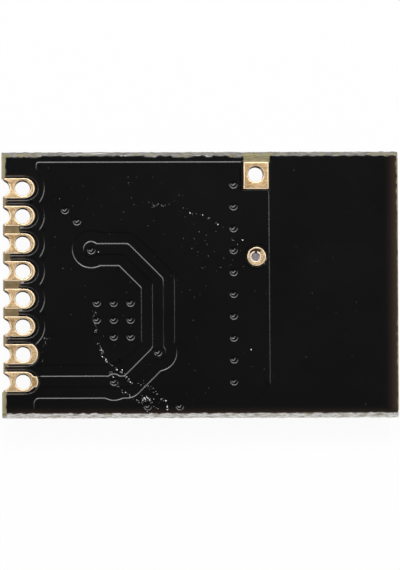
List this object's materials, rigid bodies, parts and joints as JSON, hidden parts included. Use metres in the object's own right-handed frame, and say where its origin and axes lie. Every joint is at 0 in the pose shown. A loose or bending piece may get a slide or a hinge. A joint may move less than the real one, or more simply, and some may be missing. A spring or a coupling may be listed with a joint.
{
  "type": "wireless transceiver module",
  "caption": "Small black circuit board with gold-plated castellated edge pads, a ground pour with vias, a printed antenna end and a radio chip, crystal and passives on its other face.",
  "frame": {"origin": "on the surface that the module lies on, under the middle of its bounding box", "axes": "+X from the castellated edge to the antenna end, +Y towards the interrupt pad, +Z out of the back (solder) face"},
  "size_m": [0.0182, 0.0122, 0.0019],
  "materials": {
    "glass_epoxy": "matte",
    "copper_foil": "satin",
    "solder_mask": "satin",
    "gold_plate": "satin",
    "solder": "satin",
    "tin_plate": "satin",
    "moulding_compound": "matte",
    "crystal_ceramic": "matte",
    "lid_alloy": "satin",
    "capacitor_ceramic": "matte",
    "inductor_ceramic": "satin",
    "alumina": "matte",
    "resistor_glaze": "gloss"
  },
  "bodies": {
    "root": {"laminate": "glass_epoxy", "back_copper": "copper_foil", "front_copper": "copper_foil", "antenna_trace": "copper_foil", "stitching_vias": "copper_foil", "thermal_vias": "copper_foil", "supply_vias": "copper_foil", "ground_vias": "copper_foil", "back_mask": "solder_mask", "front_mask": "solder_mask", "edge_pad_1": "gold_plate", "edge_pad_2": "gold_plate", "edge_pad_3": "gold_plate", "edge_pad_4": "gold_plate", "edge_pad_5": "gold_plate", "edge_pad_6": "gold_plate", "edge_pad_7": "gold_plate", "edge_pad_8": "gold_plate", "corner_ground_pad": "gold_plate", "round_ground_pad": "gold_plate", "component_lands": "gold_plate", "crystal_pads": "gold_plate", "ground_hole_solder": "solder", "chip_solder": "solder", "crystal_solder": "solder", "passive_solder": "solder", "chip_leads": "tin_plate", "capacitor_ends": "tin_plate", "inductor_ends": "tin_plate", "resistor_ends": "tin_plate", "transceiver_chip": "moulding_compound", "crystal_base": "crystal_ceramic", "crystal_lid": "lid_alloy", "capacitor_1": "capacitor_ceramic", "capacitor_2": "capacitor_ceramic", "capacitor_3": "capacitor_ceramic", "capacitor_4": "capacitor_ceramic", "capacitor_5": "capacitor_ceramic", "capacitor_6": "capacitor_ceramic", "capacitor_7": "capacitor_ceramic", "capacitor_8": "capacitor_ceramic", "capacitor_9": "capacitor_ceramic", "inductor_1": "inductor_ceramic", "inductor_2": "inductor_ceramic", "inductor_3": "inductor_ceramic", "resistor_1": "alumina", "resistor_2": "alumina", "resistor_coats": "resistor_glaze"}
  },
  "joints": []
}
